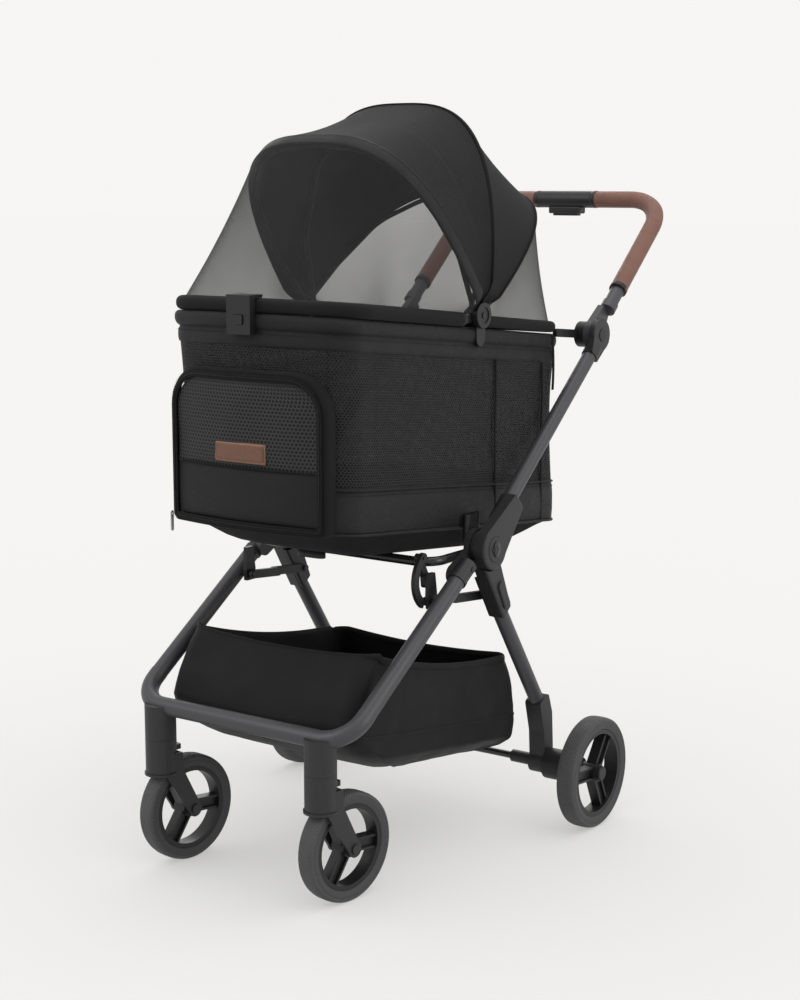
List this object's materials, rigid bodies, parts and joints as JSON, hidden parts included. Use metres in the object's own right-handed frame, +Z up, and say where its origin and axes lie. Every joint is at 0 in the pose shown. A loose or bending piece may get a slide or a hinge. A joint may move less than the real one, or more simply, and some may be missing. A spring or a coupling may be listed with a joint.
{
  "type": "pet stroller",
  "caption": "Folding pet stroller: mesh-walled carrier with opening canopy on a grey tube frame, swivelling front casters, leather-wrapped handle and cloth basket.",
  "frame": {"origin": "on the floor, under the middle of the overall length and width, canopy closed and frame open", "axes": "+X to the stroller's own left, -Y forward (the casters' end), +Z up"},
  "size_m": [0.6524, 1.0179, 1.1904],
  "materials": {
    "frame_grey": "matte charcoal powder coat",
    "frame_casting": "fine satin texture",
    "black_plastic": "satin black",
    "gloss_black": "gloss black tube sleeve",
    "steel": "bright zinc",
    "tyre": "matte tread, diamond pattern",
    "rim": "satin black",
    "leather_brown": "stitched leather wrap",
    "leather_black": "grained black leatherette",
    "mesh_black": "open hexagonal mesh",
    "sheer_mesh": "fine see-through window mesh",
    "canopy_cloth": "ribbed and twill woven cloth",
    "basket_cloth": "smooth woven nylon",
    "hoop_cover": "padded twill sleeve over a tube",
    "tray_board": "stiff board covered in cloth"
  },
  "bodies": {
    "front_frame": {"front_bar": "frame_grey", "front_legs": "frame_grey", "hub_brackets": "frame_casting", "hub_pins": "steel", "caster_sockets": "frame_casting", "leg_plates": "black_plastic", "seat_bar": "gloss_black", "adapter_sockets": "black_plastic", "storage_basket": "basket_cloth"},
    "rear_frame": {"rear_legs": "frame_grey", "rear_hubs": "frame_casting", "lock_covers": "frame_casting", "leg_brackets": "frame_casting", "rear_axle": "steel", "brake_drums": "black_plastic"},
    "rear_wheel_left": {"rear_tyre_left": "tyre", "rear_rim_left": "rim"},
    "rear_wheel_right": {"rear_tyre_right": "tyre", "rear_rim_right": "rim"},
    "caster_left": {"caster_fork_left": "frame_casting"},
    "caster_right": {"caster_fork_right": "frame_casting"},
    "swivel_tab_left": {"swivel_tab_left": "black_plastic"},
    "swivel_tab_right": {"swivel_tab_right": "black_plastic"},
    "front_wheel_left": {"front_tyre_left": "tyre", "front_rim_left": "rim"},
    "front_wheel_right": {"front_tyre_right": "tyre", "front_rim_right": "rim"},
    "push_frame": {"push_tubes": "frame_grey", "hub_housings": "frame_casting", "hub_discs": "frame_casting", "pivot_bases": "frame_casting"},
    "pivot_button_left": {"pivot_button_left": "black_plastic"},
    "pivot_button_right": {"pivot_button_right": "black_plastic"},
    "handle": {"handle_arms": "frame_grey", "grips": "leather_brown", "handle_core": "black_plastic"},
    "fold_trigger": {"fold_trigger": "black_plastic"},
    "front_stays": {"front_stays": "black_plastic"},
    "rear_stays": {"rear_stays": "black_plastic"},
    "transport_hook": {"transport_hook": "black_plastic"},
    "carrier": {"floor_tray": "tray_board", "bottom_band": "leather_black", "mesh_walls": "mesh_black", "top_band": "leather_black", "front_panel": "mesh_black", "leather_patch": "leather_brown", "rear_hoop": "hoop_cover", "pivot_discs": "black_plastic", "rear_bow": "black_plastic", "rear_mesh": "sheer_mesh", "rear_fabric": "canopy_cloth"},
    "canopy_front": {"front_bow": "black_plastic", "bow_band": "leather_black", "front_fabric": "canopy_cloth", "front_mesh": "sheer_mesh", "front_hoop": "hoop_cover", "front_latch": "black_plastic"},
    "middle_bow": {"middle_bow": "black_plastic"},
    "latch_button": {"latch_button": "black_plastic"},
    "zip_pull": {"zip_pull": "steel"}
  },
  "joints": [
    {"name": "frame_fold", "type": "hinge", "parent": "front_frame", "child": "push_frame", "pos_m": [0, -0.10477, 0.494], "axis": [1, 0, 0], "range_deg": [0, 110], "deforming": ["storage_basket"]},
    {"name": "rear_fold", "type": "hinge", "parent": "front_frame", "child": "rear_frame", "pos_m": [0, -0.10477, 0.494], "axis": [1, 0, 0], "range_deg": [-32.7, 0]},
    {"name": "front_stay_fold", "type": "hinge", "parent": "front_frame", "child": "front_stays", "pos_m": [0, -0.21977, 0.424], "axis": [1, 0, 0], "range_deg": [-58, 0]},
    {"name": "rear_stay_fold", "type": "hinge", "parent": "rear_frame", "child": "rear_stays", "pos_m": [0, -0.07277, 0.409], "axis": [1, 0, 0], "range_deg": [0, 65]},
    {"name": "handle_angle", "type": "hinge", "parent": "push_frame", "child": "handle", "pos_m": [0, 0.24923, 0.808], "axis": [1, 0, 0], "range_deg": [-45, 30]},
    {"name": "pivot_button_left", "type": "slide", "parent": "handle", "child": "pivot_button_left", "axis": [-1, 0, 0], "range_m": [0, 0.003], "stiffness_N_per_m": 400},
    {"name": "pivot_button_right", "type": "slide", "parent": "handle", "child": "pivot_button_right", "axis": [1, 0, 0], "range_m": [0, 0.003], "stiffness_N_per_m": 400},
    {"name": "fold_trigger", "type": "slide", "parent": "handle", "child": "fold_trigger", "axis": [0, 0, 1], "range_m": [0, 0.004], "stiffness_N_per_m": 500},
    {"name": "caster_swivel_left", "type": "hinge", "parent": "front_frame", "child": "caster_left", "pos_m": [0.158, -0.46977, 0.209], "axis": [0, 0, 1], "continuous": true},
    {"name": "front_wheel_left", "type": "hinge", "parent": "caster_left", "child": "front_wheel_left", "pos_m": [0.1649, -0.42167, 0.085], "axis": [0.9899, -0.1421, 0], "continuous": true},
    {"name": "swivel_tab_left", "type": "slide", "parent": "caster_left", "child": "swivel_tab_left", "axis": [0, 0, 1], "range_m": [0, 0.005]},
    {"name": "caster_swivel_right", "type": "hinge", "parent": "front_frame", "child": "caster_right", "pos_m": [-0.158, -0.46977, 0.209], "axis": [0, 0, 1], "continuous": true},
    {"name": "front_wheel_right", "type": "hinge", "parent": "caster_right", "child": "front_wheel_right", "pos_m": [-0.1511, -0.42167, 0.085], "axis": [0.9899, -0.1421, 0], "continuous": true},
    {"name": "swivel_tab_right", "type": "slide", "parent": "caster_right", "child": "swivel_tab_right", "axis": [0, 0, 1], "range_m": [0, 0.005]},
    {"name": "rear_wheel_left", "type": "hinge", "parent": "rear_frame", "child": "rear_wheel_left", "pos_m": [0.305, 0.08123, 0.093], "axis": [1, 0, 0], "continuous": true},
    {"name": "rear_wheel_right", "type": "hinge", "parent": "rear_frame", "child": "rear_wheel_right", "pos_m": [-0.305, 0.08123, 0.093], "axis": [1, 0, 0], "continuous": true},
    {"name": "carrier_lift", "type": "slide", "parent": "front_frame", "child": "carrier", "axis": [0, 0, 1], "range_m": [0, 0.12]},
    {"name": "canopy_open", "type": "hinge", "parent": "carrier", "child": "canopy_front", "pos_m": [0, -0.07277, 0.859], "axis": [-1, 0, 0], "range_deg": [0, 60], "deforming": ["front_fabric", "rear_fabric"]},
    {"name": "middle_bow_follow", "type": "hinge", "parent": "carrier", "child": "middle_bow", "pos_m": [0, -0.07277, 0.859], "axis": [-1, 0, 0], "range_deg": [0, 31]},
    {"name": "latch_press", "type": "slide", "parent": "canopy_front", "child": "latch_button", "axis": [0, 1, 0], "range_m": [0, 0.002], "stiffness_N_per_m": 400},
    {"name": "transport_hook_swing", "type": "hinge", "parent": "front_frame", "child": "transport_hook", "pos_m": [0, -0.24077, 0.497], "axis": [1, 0, 0], "range_deg": [-30, 5]},
    {"name": "zip_pull_swing", "type": "hinge", "parent": "carrier", "child": "zip_pull", "pos_m": [0, -0.43877, 0.563], "axis": [1, 0, 0], "range_deg": [-25, 25]}
  ],
  "couplings": [
    {"joint": "rear_fold", "follows": "frame_fold", "ratio": -0.2963},
    {"joint": "front_stay_fold", "follows": "frame_fold", "ratio": -0.522},
    {"joint": "rear_stay_fold", "follows": "frame_fold", "ratio": 0.59},
    {"joint": "middle_bow_follow", "follows": "canopy_open", "ratio": 0.5}
  ]
}
